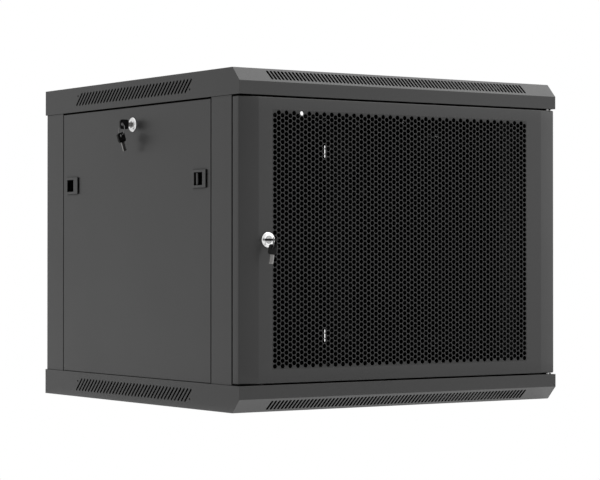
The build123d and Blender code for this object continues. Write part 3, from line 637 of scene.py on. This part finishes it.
# Soft round lights in the sky: direction, strength, and how many degrees from it they are full and gone.
LIGHTS = (
    ((0.6, -0.1, 0.8), 2.0, 10, 50),       # high on the right
    ((0.90, -0.44, 0.08), 1.1, 10, 44),    # low on the right
    ((0.05, -1.0, 0.0), -0.55, 8, 34),     # a darker area before the door
)
FLOOR_Z = -5.5             # just low enough to draw no dark line along the lowest edges
FLOOR_HALF, FLOOR_STEP = 6000, 1500
FLOOR_TONE = (0.40, 0.43)
GLOW_SPAN = (10.0, 50.0)   # distance from the cabinet over which the glow of the floor fades
GLOW = (1.30, 0.35)        # strength under the cabinet and away from it

CAMERA_PLACE = (-2.0075, -2.9647, 0.2258)    # metres
CAMERA_AIM = (0.56260687, 0.82668475, 0.00811354)
LENS, SENSOR = 131.39, 36.0
FAR_CLIP = 60.0            # metres


def lobe(tree, direction, centre, strength, full, gone):
    """What one light adds to a direction of the sky."""
    nearness = tree.vector("DOT_PRODUCT", direction, Vector(centre).normalized())
    return tree.ramp(nearness, math.cos(math.radians(gone)), math.cos(math.radians(full)), 0.0, strength)


def studio():
    """A bright sky with soft lights, which the camera sees as pure white."""
    world = bpy.data.worlds.new("studio")
    bpy.context.scene.world = world
    world.use_nodes = True
    tree = Tree(world.node_tree, "ShaderNodeOutputWorld")
    direction = tree.add("ShaderNodeTexCoord").outputs["Generated"]
    total = tree.ramp(tree.axis(direction, "Z"), 0.0, 1.0, *SKY)
    for light in LIGHTS:
        total = tree.math("ADD", total, lobe(tree, direction, *light))
    sky = tree.add("ShaderNodeBackground")
    tree.link(tree.math("MAXIMUM", total, DARKEST_SKY), sky.inputs["Strength"])
    white = tree.add("ShaderNodeBackground")
    white.inputs["Color"].default_value = grey(1.0)
    tree.show_camera(seen=white, otherwise=sky)


def floor_material():
    """A pale floor that glows most under the cabinet, and that the camera sees as pure white."""
    material, tree, shader, coord = new_material("pale_floor")
    place = coord.outputs["Object"]
    tone = tree.ramp(tree.noise(place, scale=3.0, detail=2.0), *NOISE_SPAN, *FLOOR_TONE)
    tree.link(tree.scale(grey(1.0), tone), shader.inputs["Base Color"])
    shader.inputs["Roughness"].default_value = 0.7
    footprint = (HALF_WIDTH * MM, HALF_DEPTH * MM, 0.0)
    outside = tree.vector("SUBTRACT", tree.vector("ABSOLUTE", place), footprint)
    distance = tree.vector("LENGTH", tree.vector("MAXIMUM", outside, (0.0, 0.0, 0.0)))
    near, away = [reach * MM for reach in GLOW_SPAN]
    shader.inputs["Emission Color"].default_value = grey(1.0)
    tree.link(tree.ramp(distance, near, away, *GLOW), shader.inputs["Emission Strength"])
    tree.show_camera(seen=tree.add("ShaderNodeEmission"), otherwise=shader)
    return material


def floor():
    tiles = Builder()
    starts = range(-FLOOR_HALF, FLOOR_HALF, FLOOR_STEP)
    for x in starts:
        for y in starts:
            near = [(x, y, FLOOR_Z), (x + FLOOR_STEP, y, FLOOR_Z)]
            far = [(x + FLOOR_STEP, y + FLOOR_STEP, FLOOR_Z), (x, y + FLOOR_STEP, FLOOR_Z)]
            tiles.face(*near, *far)
    tiles.as_object("floor", floor_material())


def camera():
    """The camera of the photograph: its place and aim were found from the cabinet's edges."""
    data = bpy.data.cameras.new("camera")
    data.sensor_width = SENSOR
    data.lens = LENS
    data.clip_end = FAR_CLIP
    obj = bpy.data.objects.new("camera", data)
    obj.location = CAMERA_PLACE
    obj.rotation_euler = Vector(CAMERA_AIM).to_track_quat("-Z", "Y").to_euler()
    bpy.context.scene.collection.objects.link(obj)
    bpy.context.scene.camera = obj


coat_cad_pieces()
soften_cad_pieces()
door_sheet()
studio()
floor()
camera()
bpy.context.scene.view_settings.view_transform = "Standard"
bpy.context.scene.view_settings.look = "None"
